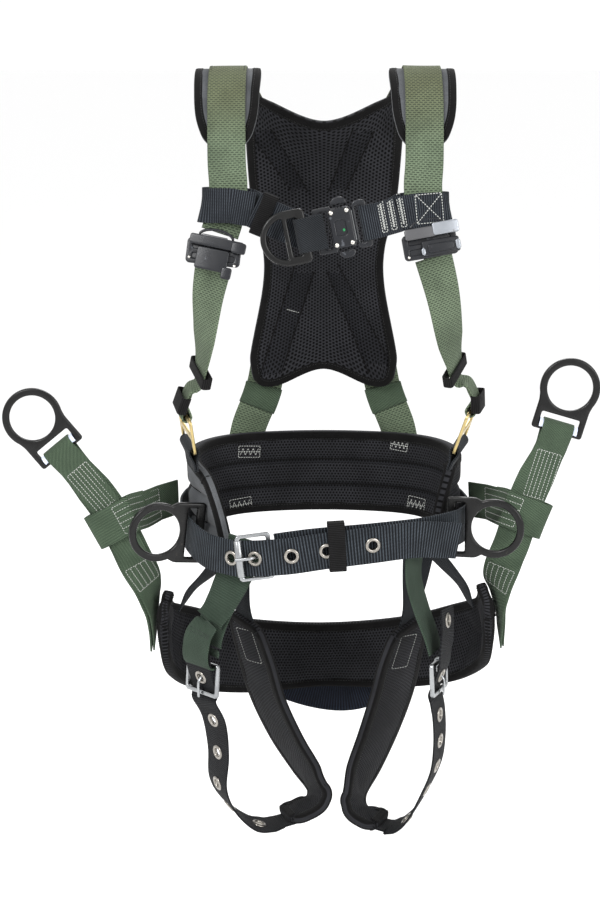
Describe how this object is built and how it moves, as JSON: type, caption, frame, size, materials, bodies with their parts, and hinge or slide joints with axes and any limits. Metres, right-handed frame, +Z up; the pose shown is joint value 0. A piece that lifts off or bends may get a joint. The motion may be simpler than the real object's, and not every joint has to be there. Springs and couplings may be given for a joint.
{
  "type": "tree climbing saddle",
  "caption": "Full-body tree climbing saddle: padded torso harness, waist belt, seat sling on two risers, leg loops, forged rings and buckles.",
  "frame": {"origin": "centre of the wearer's waist, at the height of the belt", "axes": "+X towards the wearer's left, -Y towards the front, +Z up"},
  "size_m": [0.7317, 0.3031, 0.9577],
  "materials": {
    "pad_mesh": "matt knitted spacer mesh with bound edges",
    "green_webbing": "matt woven polyester webbing with a fine dark fleck",
    "black_webbing": "ribbed woven polyester webbing, slight sheen",
    "forged_black": "satin black-brown coating on forged steel",
    "bright_steel": "bright plated steel",
    "gold_zinc": "yellow zinc plated steel",
    "dark_hardware": "satin dark grey coated alloy and steel",
    "pale_sleeve": "pale smooth plastic",
    "elastic": "woven elastic"
  },
  "bodies": {
    "harness": {"back_pad": "pad_mesh", "chest_buckle_body": "dark_hardware", "chest_buckle_cover": "dark_hardware", "chest_strap_left": "black_webbing", "chest_strap_right": "black_webbing", "chest_tab": "dark_hardware", "dorsal_plate": "dark_hardware", "front_keeper_left": "elastic", "front_keeper_right": "elastic", "front_strap_left": "green_webbing", "front_strap_right": "green_webbing", "hip_buckle_left": "gold_zinc", "hip_buckle_right": "gold_zinc", "hip_loop_left": "black_webbing", "hip_loop_right": "black_webbing", "leg_buckle_frame_left": "bright_steel", "leg_buckle_frame_right": "bright_steel", "leg_hanger_left": "black_webbing", "leg_hanger_right": "black_webbing", "leg_pad_left": "pad_mesh", "leg_pad_right": "pad_mesh", "leg_strap_left": "green_webbing", "leg_strap_right": "green_webbing", "leg_tongue_left": "black_webbing", "leg_tongue_right": "black_webbing", "ring_liner_left": "pale_sleeve", "ring_liner_right": "pale_sleeve", "riser_left": "green_webbing", "riser_right": "green_webbing", "seat_hanger_left": "black_webbing", "seat_hanger_right": "black_webbing", "seat_pad": "pad_mesh", "seat_webbing": "black_webbing", "side_connector_left": "green_webbing", "side_connector_right": "green_webbing", "sternal_loop": "black_webbing", "torso_adjuster_left": "dark_hardware", "torso_adjuster_right": "dark_hardware", "torso_strap_left": "green_webbing", "torso_strap_right": "green_webbing", "waist_belt": "black_webbing", "waist_buckle_frame": "bright_steel", "waist_pad": "pad_mesh"},
    "dorsal_ring": {"dorsal_d_ring": "forged_black"},
    "sternal_ring": {"sternal_d_ring": "forged_black"},
    "hip_ring_left": {"hip_d_ring_left": "forged_black"},
    "hip_ring_right": {"hip_d_ring_right": "forged_black"},
    "seat_ring_left": {"seat_d_ring_left": "forged_black"},
    "seat_ring_right": {"seat_d_ring_right": "forged_black"},
    "waist_prong": {"waist_buckle_prong": "bright_steel"},
    "waist_roller": {"waist_buckle_roller": "bright_steel"},
    "leg_prong_left": {"leg_buckle_prong_left": "bright_steel"},
    "leg_prong_right": {"leg_buckle_prong_right": "bright_steel"},
    "belt_keeper": {"belt_keeper": "elastic"},
    "chest_keeper": {"chest_keeper": "elastic"},
    "release_upper": {"release_lever_upper": "dark_hardware"},
    "release_lower": {"release_lever_lower": "dark_hardware"}
  },
  "joints": [
    {"name": "dorsal_ring_swing", "type": "hinge", "parent": "harness", "child": "dorsal_ring", "pos_m": [0, 0.1435, 0.434], "axis": [1, 0, 0], "range_deg": [0, 150]},
    {"name": "sternal_ring_swing", "type": "hinge", "parent": "harness", "child": "sternal_ring", "pos_m": [-0.02568, -0.14116, 0.35933], "axis": [-0.197, 0.0999, 0.9753], "range_deg": [0, 140]},
    {"name": "hip_ring_left_tilt", "type": "hinge", "parent": "harness", "child": "hip_ring_left", "pos_m": [-0.1645, -0.054, -0.018], "axis": [0.1093, 0, 0.994], "range_deg": [-8, 20]},
    {"name": "hip_ring_right_tilt", "type": "hinge", "parent": "harness", "child": "hip_ring_right", "pos_m": [0.167, -0.048, -0.012], "axis": [0, 0, 1], "range_deg": [-20, 12]},
    {"name": "seat_ring_left_swing", "type": "hinge", "parent": "harness", "child": "seat_ring_left", "pos_m": [-0.324, -0.03, 0.081], "axis": [0.7691, 0, 0.6391], "range_deg": [-95, 95]},
    {"name": "seat_ring_right_swing", "type": "hinge", "parent": "harness", "child": "seat_ring_right", "pos_m": [0.285, -0.03, 0.108], "axis": [0.9591, 0, -0.283], "range_deg": [-95, 95]},
    {"name": "waist_prong_lift", "type": "hinge", "parent": "harness", "child": "waist_prong", "pos_m": [-0.066, -0.1236, -0.0275], "axis": [-0.1203, 0.0301, 0.9923], "range_deg": [0, 6]},
    {"name": "waist_roller_spin", "type": "hinge", "parent": "harness", "child": "waist_roller", "pos_m": [-0.10268, -0.12565, -0.03188], "axis": [-0.1203, 0.0301, 0.9923], "continuous": true},
    {"name": "leg_prong_left_lift", "type": "hinge", "parent": "harness", "child": "leg_prong_left", "pos_m": [-0.148, -0.097, -0.17], "axis": [0.6918, -0.7218, -0.0202], "range_deg": [-8, 0]},
    {"name": "leg_prong_right_lift", "type": "hinge", "parent": "harness", "child": "leg_prong_right", "pos_m": [0.139, -0.097, -0.168], "axis": [0.361, 0.9326, -0.0042], "range_deg": [-8, 0]},
    {"name": "belt_keeper_slide", "type": "slide", "parent": "harness", "child": "belt_keeper", "axis": [0.9975, 0.0499, 0.0499], "range_m": [-0.012, 0.015]},
    {"name": "chest_keeper_slide", "type": "slide", "parent": "harness", "child": "chest_keeper", "axis": [0.9234, -0.1253, -0.3628], "range_m": [0, 0.006]},
    {"name": "release_upper_press", "type": "slide", "parent": "harness", "child": "release_upper", "axis": [0.197, -0.0999, -0.9753], "range_m": [0, 0.0025], "stiffness_N_per_m": 400, "springref_m": -0.002},
    {"name": "release_lower_press", "type": "slide", "parent": "harness", "child": "release_lower", "axis": [-0.197, 0.0999, 0.9753], "range_m": [0, 0.0025], "stiffness_N_per_m": 400, "springref_m": -0.002}
  ]
}
